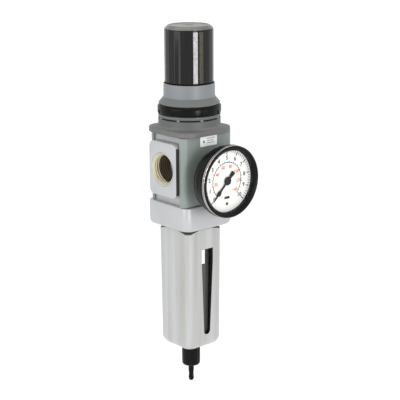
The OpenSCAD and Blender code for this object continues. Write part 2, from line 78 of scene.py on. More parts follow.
# Places read from the CAD nodes
collar_low, collar_high = span("bowl_collar")
body_high = span("body_casting")[1]
guard_low, guard_high = span("bowl_guard")
skirt_low, skirt_high = span("adjusting_knob")
cap_low, cap_high = span("knob_cap")
shroud_low, shroud_high = span("shroud")
nut_low, nut_high = span("panel_nut")
spacer_low, spacer_high = span("neck_spacer")
bonnet_high = span("bonnet")[1]
cover_low, cover_high = span("front_cover")
label_low, label_high = span("label_plate")
insert_low, insert_high = span("inlet_thread_insert")
bezel_low, bezel_high = span("gauge_bezel")
case_low, case_high = span("gauge_case")
lens_low, lens_high = span("gauge_lens")
dial_low, dial_high = span("gauge_dial")
drain_low, drain_high = span("drain_knob")
body_z0, body_z1 = collar_high.z, body_high.z
cover_face = -cover_low.y
port_z = (insert_low.z + insert_high.z) / 2
gauge_z = (bezel_low.z + bezel_high.z) / 2


# ---------- materials ----------

def srgb(red, green, blue):
    """Linear colour of an sRGB colour given from 0 to 255."""
    return tuple(((c / 255 + 0.055) / 1.055) ** 2.4 if c > 10 else c / 255 / 12.92
                 for c in (red, green, blue))


def surface(name, colour, rough, metallic=0.0, mottle=0.06, grain=900, bump=0.05, brushed=None, coat=0.0,
            specks=0.0, alpha=1.0, specular=0.5, tint=None, streak=None):
    """Procedural material: mottled colour, uneven gloss and fine grain.

    Brushed and streak are per-axis stretches of the grain and of the mottling.
    """
    mat = bpy.data.materials.new(name)
    mat.use_nodes = True
    tree = mat.node_tree
    shader = tree.nodes["Principled BSDF"]
    link = tree.links.new

    def add(kind, **values):
        made = tree.nodes.new(kind)
        for key, value in values.items():
            made.inputs[key].default_value = value
        return made

    place = add("ShaderNodeTexCoord")
    stretch = add("ShaderNodeMapping")
    stretch.inputs["Scale"].default_value = brushed or (1, 1, 1)
    link(place.outputs["Object"], stretch.inputs["Vector"])
    cloud = add("ShaderNodeTexNoise", Scale=45.0, Detail=4.0, Roughness=0.6)
    fine = add("ShaderNodeTexNoise", Scale=float(grain), Detail=3.0, Roughness=0.55)
    drift = add("ShaderNodeMapping")
    drift.inputs["Scale"].default_value = streak or (1, 1, 1)
    link(place.outputs["Object"], drift.inputs["Vector"])
    link(drift.outputs["Vector"], cloud.inputs["Vector"])
    link(stretch.outputs["Vector"], fine.inputs["Vector"])
    # Colour drifts between a darker and a lighter tone of the base
    tone = tree.nodes.new("ShaderNodeValToRGB")
    other = tint or colour
    tone.color_ramp.elements[0].position = 0.3
    tone.color_ramp.elements[1].position = 0.7
    tone.color_ramp.elements[0].color = (*[c * (1 - mottle) for c in colour], 1)
    tone.color_ramp.elements[1].color = (*[min(c * (1 + mottle), 1) for c in other], 1)
    link(cloud.outputs["Fac"], tone.inputs["Fac"])
    colour_out = tone.outputs["Color"]
    if specks:
        dots = add("ShaderNodeTexVoronoi", Scale=float(grain) * 0.6)
        link(place.outputs["Object"], dots.inputs["Vector"])
        near = add("ShaderNodeMapRange")
        near.inputs["From Min"].default_value = 0.1
        near.inputs["From Max"].default_value = 0.3
        near.inputs["To Min"].default_value = specks
        near.inputs["To Max"].default_value = 0.0
        link(dots.outputs["Distance"], near.inputs["Value"])
        spot = tree.nodes.new("ShaderNodeMix")
        spot.data_type = "RGBA"
        link(near.outputs["Result"], spot.inputs["Factor"])
        link(colour_out, spot.inputs["A"])
        spot.inputs["B"].default_value = (*[min(c * 1.5 + 0.03, 1) for c in colour], 1)
        colour_out = spot.outputs["Result"]
    link(colour_out, shader.inputs["Base Color"])
    gloss = add("ShaderNodeMapRange")
    gloss.inputs["To Min"].default_value = max(rough - 0.07, 0.02)
    gloss.inputs["To Max"].default_value = min(rough + 0.09, 1)
    link(fine.outputs["Fac"], gloss.inputs["Value"])
    link(gloss.outputs["Result"], shader.inputs["Roughness"])
    relief = add("ShaderNodeBump", Strength=bump, Distance=0.0003)
    link(fine.outputs["Fac"], relief.inputs["Height"])
    link(relief.outputs["Normal"], shader.inputs["Normal"])
    shader.inputs["Metallic"].default_value = metallic
    shader.inputs["Coat Weight"].default_value = coat
    shader.inputs["Coat Roughness"].default_value = 0.06
    shader.inputs["Specular IOR Level"].default_value = specular
    shader.inputs["Alpha"].default_value = alpha
    return mat


MATERIALS = {
    "die_cast": surface("cast_paint", srgb(176, 177, 179), 0.46, metallic=0.35, mottle=0.05, grain=1400,
                        bump=0.12, specks=0.12),
    # Brass colour of the threads, darkened by painted shade deep in the bore
    "brass_thread": surface("shaded_thread_brass", srgb(58, 48, 36), 0.42, metallic=0.6, mottle=0.3, grain=700,
                            bump=0.1, brushed=(4, 1, 1), tint=srgb(80, 68, 48)),
    "cover_grey": surface("cover_plastic", srgb(121, 132, 127), 0.46, mottle=0.05, grain=1900,
                          bump=0.16, tint=srgb(126, 134, 130)),
    "label": surface("label_paper", srgb(246, 247, 248), 0.42, mottle=0.02, grain=1200, bump=0.02),
    "bonnet_grey": surface("bonnet_plastic", srgb(94, 97, 95), 0.5, mottle=0.07, grain=1500, bump=0.2,
                           tint=srgb(97, 95, 96)),
    "sleeve_grey": surface("sleeve_plastic", srgb(115, 117, 117), 0.42, mottle=0.06, grain=1600,
                           bump=0.14, tint=srgb(115, 119, 124)),
    "black_plastic": surface("gloss_black", srgb(13, 12, 12), 0.13, mottle=0.18, grain=500, bump=0.02,
                             coat=0.05, specular=0.26),
    "black_nut": surface("nut_black", srgb(8, 8, 7), 0.26, mottle=0.15, grain=1200, bump=0.06,
                         specular=0.12),
    "cap_grey": surface("cap_metal", srgb(110, 109, 107), 0.3, metallic=0.65, mottle=0.3, grain=600,
                        bump=0.05, brushed=(1, 6, 1)),
    "steel": surface("bright_steel", srgb(190, 192, 196), 0.24, metallic=1.0, mottle=0.06, grain=500,
                     bump=0.05, brushed=(1, 1, 5)),
    "spring_steel": surface("spring_wire", srgb(150, 152, 158), 0.28, metallic=1.0, mottle=0.1,
                            grain=900, bump=0.08),
    "brass": surface("turned_brass", srgb(196, 164, 96), 0.26, metallic=1.0, mottle=0.1, grain=700,
                     bump=0.06, brushed=(1, 5, 1)),
    "rubber": surface("seal_rubber", srgb(28, 28, 29), 0.62, mottle=0.2, grain=1500, bump=0.15),
    "diaphragm_rubber": surface("cloth_rubber", srgb(70, 58, 48), 0.7, mottle=0.15, grain=2200, bump=0.3),
    "gauge_black": surface("gauge_black_paint", srgb(10, 10, 10), 0.24, mottle=0.15, grain=1300,
                           bump=0.05, specular=0.14),
    "dial_white": surface("dial_enamel", srgb(250, 250, 247), 0.4, mottle=0.015, grain=900, bump=0.01),
    "pointer_black": surface("pointer_paint", srgb(10, 9, 9), 0.42, mottle=0.12, grain=1500, bump=0.04,
                             specular=0.15),
    "lens": surface("clear_lens", srgb(120, 124, 124), 0.05, mottle=0.01, grain=300, bump=0.004,
                    alpha=0.05, specular=0.3),
    "guard_metal": surface("guard_paint", srgb(174, 175, 170), 0.34, metallic=0.45, mottle=0.1,
                           grain=1500, bump=0.1, specks=0.08, tint=srgb(177, 178, 180),
                           streak=(4, 4, 0.15)),
    "smoked": surface("smoked_plastic", srgb(72, 73, 69), 0.16, mottle=0.12, grain=260, bump=0.03,
                      coat=0.1, specular=0.25),
    "acetal": surface("white_acetal", srgb(226, 224, 214), 0.45, mottle=0.04, grain=1200, bump=0.06),
    "sinter": surface("sintered_bronze", srgb(206, 196, 176), 0.75, mottle=0.15, grain=2600, bump=0.7,
                      specks=0.4),
}
# Materials of printed marks, of painted faces, and of painted shade and painted light
INK = surface("dial_ink", srgb(34, 36, 42), 0.5, mottle=0.1, grain=1500, bump=0.02, specular=0.2)
ORANGE = surface("dial_orange", srgb(214, 112, 54), 0.5, mottle=0.08, grain=1500, bump=0.02)
PRINT = surface("label_ink", srgb(96, 100, 106), 0.5, mottle=0.1, grain=1500, bump=0.02)
NECK = surface("neck_plastic", srgb(82, 84, 83), 0.5, mottle=0.08, grain=1500, bump=0.15)
SHADE = surface("recess_shade", srgb(14, 14, 13), 0.6, mottle=0.3, grain=900, bump=0.1, specular=0.1)
SLOT_SHADE = surface("slot_wall_shade", srgb(38, 38, 36), 0.5, mottle=0.2, grain=900, bump=0.1, specular=0.15)
GAP_SHADE = surface("shoulder_gap_shade", srgb(88, 91, 84), 0.5, mottle=0.2, grain=900, bump=0.1, specular=0.2)
SHADE_GREY = surface("painted_shade_grey", srgb(94, 98, 97), 0.44, mottle=0.07, grain=1500, bump=0.16,
               tint=srgb(90, 94, 94))
MOUTH_LIT = surface("lit_mouth_zinc", srgb(176, 170, 150), 0.35, metallic=0.5, mottle=0.15, grain=900,
                bump=0.08, tint=srgb(196, 188, 160))
CHROME = surface("bezel_chrome", srgb(208, 206, 202), 0.12, metallic=1.0, mottle=0.05, grain=300, bump=0.02)


# ---------- mesh helpers ----------

def piece(name, verts, faces, node=None, body=None, slot=None, mat=None, angle=32, bevel=0, cuts=()):
    """Makes a smooth-shaded piece from millimetre vertices; cuts are (operation, verts, faces) solids."""
    made = solid(name, verts, faces)
    for count, (operation, cut_verts, cut_faces) in enumerate(cuts):
        tool = solid(f"{name}_tool{count}", cut_verts, cut_faces)
        step = made.modifiers.new("cut", "BOOLEAN")
        step.operation, step.object, step.solver = operation, tool, "EXACT"
        settle(made)
        bpy.data.objects.remove(tool)
    if bevel:
        step = made.modifiers.new("edge", "BEVEL")
        step.width, step.segments, step.limit_method = bevel * MM, 3, "ANGLE"
        step.angle_limit = math.radians(38)
        step.use_clamp_overlap = True
        settle(made)
    for polygon in made.data.polygons:
        polygon.use_smooth = True
    made.data.set_sharp_from_angle(angle=math.radians(angle))
    slot = slot or (slot_of[node] if node else None)
    made.data.materials.clear()
    made.data.materials.append(mat or MATERIALS[slot])
    if node:
        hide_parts(node)
        body = body or frame["nodes"][node]["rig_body"]
    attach(made, body or "root")
    return made


def paint(made, mat, test):
    """Gives another material to the faces whose centre, in millimetres, and normal pass the test."""
    made.data.materials.append(mat)
    for polygon in made.data.polygons:
        if test(polygon.center / MM, polygon.normal):
            polygon.material_index = len(made.data.materials) - 1


def solid(name, verts, faces):
    """A clean closed mesh object from millimetre vertices."""
    mesh = bpy.data.meshes.new(name)
    mesh.from_pydata([Vector(v) * MM for v in verts], [], faces)
    work = bmesh.new()
    work.from_mesh(mesh)
    bmesh.ops.remove_doubles(work, verts=work.verts, dist=2e-6)
    bmesh.ops.dissolve_degenerate(work, edges=work.edges, dist=1e-7)
    bmesh.ops.recalc_face_normals(work, faces=work.faces)
    work.to_mesh(mesh)
    work.free()
    made = bpy.data.objects.new(name, mesh)
    scene.collection.objects.link(made)
    return made


def settle(made):
    """Replaces the object's mesh by what its modifiers make of it."""
    graph = bpy.context.evaluated_depsgraph_get()
    mesh = bpy.data.meshes.new_from_object(made.evaluated_get(graph))
    made.modifiers.clear()
    made.data = mesh


def outline(half_x, half_y, radius, steps=8, flats=6):
    """Rounded rectangle about the origin, counter-clockwise, with the straight sides divided."""
    points = []
    corners = ((1, 1, 0), (-1, 1, 90), (-1, -1, 180), (1, -1, 270))
    for number, (sx, sy, start) in enumerate(corners):
        cx, cy = sx * (half_x - radius), sy * (half_y - radius)
        for i in range(steps + 1):
            a = math.radians(start + 90 * i / steps)
            points.append((cx + radius * math.cos(a), cy + radius * math.sin(a)))
        nx, ny, begin = corners[(number + 1) % 4]
        a = math.radians(begin)
        end = (nx * (half_x - radius) + radius * math.cos(a), ny * (half_y - radius) + radius * math.sin(a))
        last = points[-1]
        for i in range(1, flats):
            t = i / flats
            points.append((last[0] + (end[0] - last[0]) * t, last[1] + (end[1] - last[1]) * t))
    return points


def to_circle(points, radius, amount=1.0):
    """The outline's points moved towards a circle, each along its own ray."""
    moved = []
    for x, y in points:
        reach = math.hypot(x, y)
        factor = 1 + (radius / reach - 1) * amount
        moved.append((x * factor, y * factor))
    return moved


def loft(rings, loop=False):
    """Skins rings of equal counts; both ends are capped unless the rings form a loop."""
    count = len(rings[0])
    verts = [p for ring in rings for p in ring]
    faces = []
    for k in range(len(rings) if loop else len(rings) - 1):
        a, b = k * count, (k + 1) % len(rings) * count
        for i in range(count):
            j = (i + 1) % count
            faces.append((a + i, a + j, b + j, b + i))
    if not loop:
        faces.append(tuple(range(count)))
        faces.append(tuple(range(len(verts) - 1, len(verts) - count - 1, -1)))
    return verts, faces


def at(points, z):
    """A flat outline lifted to height z."""
    return [(x, y, z) for x, y in points]


def tube(points, *path):
    """The outline drawn to circles, one for each (r, z) of the path."""
    return [at(to_circle(points, r), z) for r, z in path]


def soften(path, steps=3, closed=False):
    """Rounds the corners of a path of (r, h, fillet) points; a point without a fillet stays sharp."""
    made = []
    count = len(path)
    for i, point in enumerate(path):
        fillet = point[2] if len(point) > 2 else 0
        if not fillet or (not closed and i in (0, count - 1)):
            made.append(point[:2])
            continue
        here = Vector(point[:2])
        before, after = Vector(path[i - 1][:2]) - here, Vector(path[(i + 1) % count][:2]) - here
        reach = min(fillet, before.length * 0.48, after.length * 0.48)
        first, last = here + before.normalized() * reach, here + after.normalized() * reach
        for k in range(steps + 1):
            t = k / steps
            made.append(tuple(first * (1 - t) ** 2 + here * 2 * t * (1 - t) + last * t * t))
    return made


def place_z(r, a, h):
    return (r * math.cos(a), r * math.sin(a), h)


def place_gauge(r, a, h):
    """A point of the gauge: h is in front of the main axis, a turns clockwise from +X seen from the front."""
    return (r * math.cos(a), -h, gauge_z - r * math.sin(a))


def revolve(path, count=96, place=place_z, closed=False, shape=None):
    """Turns a path of (r, h) points about an axis; shape(a, r, h) may change the radius."""
    rings = []
    for r, h in path:
        ring = []
        for i in range(count):
            a = TAU * i / count
            ring.append(place(shape(a, r, h) if shape else r, a, h))
        rings.append(ring)
    return loft(rings, loop=closed)


def round_of(count, r, u=0.0, v=0.0):
    """A circle's points, anticlockwise, about the centre (u, v)."""
    return [(u + r * math.cos(TAU * i / count), v + r * math.sin(TAU * i / count)) for i in range(count)]


def rod(x, y, z0, z1, r, count=32):
    """An upright cylinder for cutting."""
    return loft([at(round_of(count, r, x, y), z) for z in (z0, z1)])


def lying(points, axis, near, far):
    """A flat (u, v) outline made solid along x or y between two distances."""
    if axis == "x":
        return loft([[(d, u, v) for u, v in points] for d in (near, far)])
    return loft([[(u, d, v) for u, v in points] for d in (near, far)])


# ---------- knob ----------

FACETS = 24
FACET_TURN = math.radians(12)


def faceted(a, r, h):
    """Grip of the knob: wide shallow facets with soft edges on the outer wall."""
    if r < skirt_high.x - 0.25 or h < skirt_low.z + 1.2:
        return r
    half = math.pi / FACETS
    off = (a - FACET_TURN) % (2 * half) - half
    return min(r * math.cos(half) / math.cos(off), r * 0.9985)


knob_r = skirt_high.x
top, low = skirt_high.z, skirt_low.z
socket_top, socket_r = top - 5.9, 5.2
web, skirt_bore, cap_seat, cap_seat_r = top - 16.4, 14.6, top - 2.1, 15.1
verts, faces = revolve(soften([
    (AXIS, socket_top), (socket_r, socket_top, 0.3), (socket_r, web), (skirt_bore, web, 1),
    (skirt_bore, low + 0.4, 0.4), (15, low, 0.4), (knob_r - 0.9, low, 0.9), (knob_r, low + 1.1, 0.8),
    (knob_r, low + 1.3), (knob_r, top - 0.6, 0.5), (knob_r - 0.35, top, 0.3), (cap_seat_r, top, 0.2),
    (cap_seat_r, cap_seat), (AXIS, cap_seat)]), count=FACETS * 8, shape=faceted)
piece("knob_skirt", verts, faces, "adjusting_knob", angle=24)

cap_r, crown = cap_high.x, cap_high.z
verts, faces = revolve(soften([
    (AXIS, cap_low.z), (14.9, cap_low.z), (14.9, top, 0.2), (cap_r - 0.05, top + 0.02, 0.2),
    (cap_r, top + 0.35, 0.2), (14.1, crown, 0.5), (13.2, crown, 0.25), (12.8, crown - 0.45, 0.3),
    (3.2, crown - 0.3, 0.2), (2.9, crown - 0.6, 0.2), (AXIS, crown - 0.6)]), count=128)
piece("knob_cap_disc", verts, faces, "knob_cap")

# ---------- shroud, panel nut, spacer ----------

low, top, rim = shroud_low.z, shroud_high.z, shroud_high.x
recess = skirt_low.z - 2.1
bore, recess_r = 14.3, 16.8
verts, faces = revolve(soften([
    (bore, low), (rim - 0.3, low, 0.3), (rim, low + 0.5, 0.4), (17.9, low + 4.1, 0.9), (17.5, low + 4.8, 0.4),
    (17.35, top - 0.25, 0.2), (17.15, top, 0.15), (recess_r, top, 0.1), (recess_r, recess),
    (bore, recess, 0.3)], closed=True), count=128, closed=True)
sleeve = piece("shroud_sleeve", verts, faces, "shroud")
# Painted shade: the shroud's flared foot takes a darker grey
paint(sleeve, SHADE_GREY, lambda c, n: c.z < low + 4.6 and math.hypot(c.x, c.y) > 17.2)

NECK_BORE = 19.9  # of the panel nut and the spacer, round the bonnet's neck


def notched(a, r, h):
    """Eight spanner notches in the lower half of the panel nut's rim."""
    if r < nut_high.x - 1.2 or h > nut_low.z + 2.6:
        return r
    off = abs((a - math.radians(22.5)) % (TAU / 8) - TAU / 16)
    off = TAU / 16 - off
    return r - 0.75 if off < 1.5 / r else r


low, top, rim = nut_low.z, nut_high.z, nut_high.x
verts, faces = revolve(soften([
    (NECK_BORE, low), (rim - 0.6, low, 0.3), (rim, low + 0.5, 0.4), (rim, low + 2.5), (rim, low + 2.7),
    (rim, top - 0.9, 0.8), (rim - 1.2, top, 0.6), (NECK_BORE, top)], closed=True),
    count=288, closed=True, shape=notched)
piece("panel_nut_ring", verts, faces, "panel_nut")


def tabbed(a, r, h):
    """Groove under the spacer, bridged by eight small tabs."""
    if h > spacer_low.z + 0.95 or r < 20.2:
        return r
    off = (a - math.radians(28)) % (TAU / 8)
    off = min(off, TAU / 8 - off)
    return spacer_high.x - 0.1 if off < 1.0 / r else r


low, top, rim = spacer_low.z, spacer_high.z, spacer_high.x
verts, faces = revolve(soften([
    (NECK_BORE, low), (20.3, low), (20.3, low + 0.93), (rim - 0.15, low + 0.97), (rim - 0.15, low + 1.8, 0.1),
    (rim, low + 1.85, 0.1), (rim, top - 0.2, 0.2), (rim - 0.5, top, 0.2), (NECK_BORE, top)], closed=True),
    count=288, closed=True, shape=tabbed)
neck_ring = piece("neck_ring", verts, faces, "neck_spacer")
groove_top, step = low + 0.95, low + 1.83
paint(neck_ring, NECK, lambda c, n: groove_top < c.z < step)
# The rim above the step takes the same painted-shade grey as the shroud's foot
paint(neck_ring, SHADE_GREY, lambda c, n: c.z > step and math.hypot(c.x, c.y) > 20.2)
# Painted shade: the floor of the groove under the spacer takes a near black
paint(neck_ring, SHADE, lambda c, n: c.z < groove_top and math.hypot(c.x, c.y) < 20.5)

# ---------- bonnet ----------

half = bonnet_high.x
chamber_r = 15.5
dome_top = spacer_low.z - 0.05
square = outline(half, half, 11, steps=12, flats=6)
flange = body_z1 + 3.8
crest, root, pitch = 19.8, 19.2, 1.5
rings = [at(to_circle(square, chamber_r), body_z1), at(outline(half - 0.5, half - 0.5, 10.6, 12, 6), body_z1),
         at(square, body_z1 + 0.45), at(square, body_z1 + 3.2),
         at(outline(half - 0.35, half - 0.35, 10.8, 12, 6), body_z1 + 3.6)]
inner = outline(half - 1.1, half - 1.1, 10, 12, 6)
for t in (0, 0.3, 0.6, 0.85, 1):
    rings.append(at(to_circle(inner, 21.35, t), flange + 1.2 * t * t))
rings += tube(square, (21.2, body_z1 + 5.4), (21.2, dome_top - 0.2), (20.9, dome_top), (crest, dome_top))
neck_top = shroud_low.z - 0.05
for i in range(int((neck_top - dome_top) / pitch) * 2):
    z = dome_top + 0.3 + i * pitch / 2
    if z < neck_top - 0.4:
        rings.append(at(to_circle(square, crest if i % 2 == 0 else root), z))
bonnet_top = bonnet_high.z
rings += tube(square, (19.3, neck_top - 0.3), (18.9, neck_top), (14.2, neck_top), (14.2, bonnet_top - 1.6),
              (13.8, bonnet_top - 1.2), (4.2, bonnet_top - 1.2), (4.2, bonnet_top - 5),
              (11.5, bonnet_top - 5), (11.5, body_z1 + 6), (chamber_r, body_z1 + 6))
verts, faces = loft(rings, loop=True)
bonnet_shell = piece("bonnet_shell", verts, faces, "bonnet", angle=40)
paint(bonnet_shell, NECK, lambda c, n: body_z1 + 5.5 < c.z < dome_top - 0.1 and math.hypot(c.x, c.y) > 20.5)

# ---------- body casting, thread inserts, covers, label ----------

block_x, block_y = body_high.x, 14.0
casting_half = 18.05
insert_r = insert_high.y
verts, faces = loft([at(outline(casting_half, casting_half, 3), z) for z in (body_z0, body_z1)])
cut_block = [(y, port_z + z) for y, z in outline(block_y, 18.5, 4.2, 6, 1)]


def socket(side, radius, near, far):
    """A cylinder along the port axis."""
    return lying(round_of(64, radius, 0, port_z), "x", side * near, side * far)


# Port blocks, then the sockets of the inserts, the bowl's seat, the chamber and the passage between them
cuts = [("UNION", *lying(cut_block, "x", -block_x, block_x)),
        ("DIFFERENCE", *socket(-1, insert_r + 0.02, 9.2, 30)),
        ("DIFFERENCE", *socket(1, insert_r + 0.02, 9.2, 30)),
        ("DIFFERENCE", *rod(0, 0, body_z0 - 1, body_z0 + 9, 14, 64)),
        ("DIFFERENCE", *rod(0, 0, body_z1 - 4, body_z1 + 1, chamber_r, 64)),
        ("DIFFERENCE", *rod(0, 0, body_z0 + 8, body_z1 - 3, 7.7, 64))]
piece("body_shell", verts, faces, "body_casting", bevel=0.7, cuts=cuts)


def threaded_insert(name, node, side):
    """Port insert with a real helical thread, a chamfered mouth and a plain outer wall."""
    face, length, minor, depth, pitch, bore = insert_outer, 15.0, 9.35, 0.95, 1.814, 11.2
    count, per_turn = 72, 8
    profile = (0, 0, 0.35, 0.8, 1, 1, 0.65, 0.2)
    rows = int(length / pitch + 1) * per_turn
    rings = []
    for j in range(-per_turn, rows + 1):
        ring = []
        for i in range(count):
            a = TAU * i / count
            d = min(max((j / per_turn + i / count) * pitch, 0), length)
            r = minor + depth * profile[j % per_turn]
            if d < 1.7:
                r = max(r, 10.9 - 0.9 * d)
            ring.append((side * (face - d), side * r * math.cos(a), port_z + r * math.sin(a)))
        rings.append(ring)
    for r, d in ((insert_r, length), (insert_r, 0.25), (insert_r - 0.25, 0)):
        rings.append([(side * (face - d), side * u, port_z + v) for u, v in round_of(count, r)])
    verts, faces = loft(rings, loop=True)
    made = piece(name, verts, faces, node, angle=26)
    paint(made, MATERIALS["die_cast"], lambda c, n: abs(c.x) > face - 0.3)
    # The bore's first 4.8 mm take a lighter zinc, the plating's own colour with painted light near the mouth;
    # deeper in, the thread keeps the darker brass, painted shade
    paint(made, MOUTH_LIT, lambda c, n: (face - 4.8 < abs(c.x) <= face - 0.02
                                     and math.hypot(c.y, c.z - port_z) < bore))


insert_outer = block_x - 0.05
threaded_insert("inlet_thread", "inlet_thread_insert", -1)
threaded_insert("outlet_thread", "outlet_thread_insert", 1)


def cover(name, node, side):
    """Plastic cover: a U of even wall round one side of the casting."""
    wide, wall, edge = span(node)[1].x, 1.4, 14.75

    def bend(half_x, half_y, radius):
        """The outline's part past the edge, from left to right."""
        points = [(x, y) for x, y in outline(half_x, half_y, radius, 8, 1) if y < -edge]
        return sorted(points, key=lambda p: math.atan2(p[1], p[0]))

    run = [(-wide, -edge)] + bend(wide, cover_face, 4) + [(wide, -edge), (wide - wall, -edge)]
    run += bend(wide - wall, cover_face - wall, 3)[::-1] + [(-wide + wall, -edge)]
    run = [(x * -side, y * -side) for x, y in run]
    verts, faces = loft([at(run, z) for z in (cover_low.z, cover_high.z)])
    hole = loft([[place_gauge(7.4, TAU * i / 48, -side * d) for i in range(48)] for d in (14, 24)])
    return piece(name, verts, faces, node, bevel=0.45, cuts=[("DIFFERENCE", *hole)])


cover("front_shell", "front_cover", -1)
cover("rear_shell", "rear_cover", 1)

# Dark strips in the gaps between the front cover and the port blocks, painted shade for the shadow there
for name, side in (("inlet_seam", -1), ("outlet_seam", 1)):
    section = ((0.02, -14.02), (2.0, -14.02), (1.9, -14.5), (0.02, -14.6))
    strip = [(side * (cover_high.x + x), y) for x, y in section]
    verts, faces = loft([at(strip, z) for z in (port_z - 16, port_z + 16)])
    piece(name, verts, faces, body="root", slot="rubber")

mid_z = (label_low.z + label_high.z) / 2
plate = [(x, mid_z + z) for x, z in outline(label_high.x, (label_high.z - label_low.z) / 2, 0.8, 5, 1)]
verts, faces = lying(plate, "y", label_low.y, label_high.y)
piece("label_tag", verts, faces, "label_plate", bevel=0.08)


def mark(name, points, front, rise, body, mat, slot):
    """A thin printed mark standing a hair proud of a surface that faces the front."""
    verts, faces = loft([[(u, -(front + d), v) for u, v in points] for d in (0.0, rise)])
    return piece(name, verts, faces, body=body, slot=slot, mat=mat)


label_face, print_rise = -label_low.y - 0.01, 0.05
mark("label_dot", round_of(24, 0.85, -4.4, mid_z - 0.3), label_face, print_rise, "root", PRINT, "label")
line_start, line_width = -1.6, 0.35
for number, (line_end, z) in enumerate(((5.6, 1.5), (4.2, 0.0), (5.0, -1.5))):
    foot, head = mid_z + z, mid_z + z + line_width
    line = [(line_start, foot), (line_end, foot), (line_end, head), (line_start, head)]
    mark(f"label_line{number}", line, label_face, print_rise, "root", PRINT, "label")

# ---------- bowl collar and guard ----------

half = collar_high.x
low, top = collar_low.z, collar_high.z
profile = ((top, 0.5, 4.8), (top - 0.15, 0.15, 5), (top - 0.5, 0, 5), (low + 4, 0, 5), (low + 2, 0.12, 5.2),
           (low + 1, 0.4, 5.6), (low + 0.4, 0.8, 6.2), (low + 0.1, 1.3, 6.8), (low, 1.9, 7.2))
rings = [at(outline(half - inset, half - inset, r, 12, 5), z) for z, inset, r in profile]
rings += tube(outline(half, half, 5, 12, 5), (17.3, low), (17.3, low + 10.9), (17.25, top))
verts, faces = loft(rings, loop=True)
piece("collar_ring", verts, faces, "bowl_collar", angle=40)

top, low = collar_low.z - 1.2, guard_low.z
wide, foot = 16.0, 15.4
corner, foot_round = 4.5, 6


def face_y(z):
    """Distance of the guard's flat sides from the main axis at height z."""
    return foot + (wide - foot) * ((z - low) / (top - low))


def guard_ring(inset, z, drop=0):
    """Ring of the guard's wall; drop lowers the corners, where the bayonet's ways in are."""
    turn = foot_round - inset
    rise = z - low
    curve = turn - math.sqrt(max(turn ** 2 - max(turn - rise, 0) ** 2, 0)) if rise < turn else 0
    size = face_y(z) - inset - curve
    r = max(corner - inset * 0.8, 1.5)
    points = outline(size, size, min(r, size), 8, 4)
    made = []
    for x, y in points:
        bite = min(max((math.hypot(x, y) - size * 1.12) / (size * 0.17), 0), 1)
        made.append((x, y, z - drop * bite * bite * (3 - 2 * bite)))
    return made


rings = [[(x * 0.32, y * 0.32, low) for x, y, z in guard_ring(0, low + 0.01)]]
for i in range(9):
    a = math.pi / 2 * i / 8
    rings.append(guard_ring(0, low + foot_round * (1 - math.cos(a)) + 0.001))
rings += [guard_ring(0, low + z) for z in (10, 14, 30, 50, 66, 78)]
rings += [guard_ring(0, top - 2.8), guard_ring(0, top - 0.45, 1.8), guard_ring(0.45, top, 1.8)]
square = outline(wide, wide, corner, 8, 4)
# The shoulder dips at the corners, outside the neck
shoulder = zip(to_circle(square, 15.9), square)
rings.append([(x, y, top - (1.6 if math.hypot(sx, sy) > 17.5 else 0)) for (x, y), (sx, sy) in shoulder])
neck, bore, skirt, foot_bore = guard_high.z, 14.5, 13.5, 5.2
rings += tube(square, (15.85, top + 0.05), (15.85, neck - 0.3), (15.6, neck), (skirt, neck), (skirt, top - 3),
              (bore, top - 4), (bore, low + 9), (foot_bore, low + 6), (foot_bore, low))
verts, faces = loft(rings, loop=True)

# Sight slot: tapered towards a round foot, and stepped at its head
slot_x, slot_low, slot_top = 1.2, low + 13, low + 73
foot_r, step = 2.8, slot_top - 10
slot_right, slot_inner, slot_left = slot_x + 5.7, slot_x - 1.8, slot_x - 4.4
turns = [math.pi + math.pi * i / 10 for i in range(11)]
hole = [(slot_x + 0.5 + foot_r * math.cos(a), slot_low + foot_r * math.sin(a)) for a in turns]
hole += [(slot_right, step), (slot_right, slot_top), (slot_inner, slot_top), (slot_inner, step),
         (slot_left, step)]
guard_shell = piece("guard_shell", verts, faces, "bowl_guard", bevel=0.3, angle=36,
                    cuts=[("DIFFERENCE", *lying(hole, "y", -30, -1))])


def on_slot_wall(c, n):
    """Whether a face belongs to the slot's walls, not to the guard's outside."""
    beside = -4.7 < c.x - slot_x < 6 and slot_low - 3.2 < c.z < slot_top + 0.3
    return beside and -15.9 < c.y < -12 and n.y > -0.4


def in_gap(c, n):
    """Whether a face looks up out of the bayonet's ways in, at the guard's corners."""
    return top - 3.2 < c.z < top - 0.6 and n.z > 0.5 and math.hypot(c.x, c.y) > 15.7


# Painted shade: the walls of the sight slot take a dark grey
paint(guard_shell, SLOT_SHADE, on_slot_wall)
# Painted shade: faces looking up out of the corner dips, under the collar, take a darker grey
paint(guard_shell, GAP_SHADE, in_gap)

# White strip at the head of the sight slot, a painted highlight on the slot's stepped ledge
edge, head = slot_x - 1.9, slot_top - 0.2
corners = [(slot_left, step), (edge, step), (edge, head), (slot_left, head)]
verts, faces = loft([[(x, -(face_y(z) + d), z) for x, z in corners] for d in (-0.6, 0.06)])
piece("sight_ledge_highlight", verts, faces, body="bowl", slot="label", bevel=0.04)

# ---------- drain ----------


def ribbed(a, r, h):
    """Sixteen grip ribs on the drain knob."""
    if r < 5.9 or not drain_low.z + 2.4 < h < drain_low.z + 14.6:
        return r
    return r - 0.3 * (0.5 - 0.5 * math.cos(16 * a)) ** 2


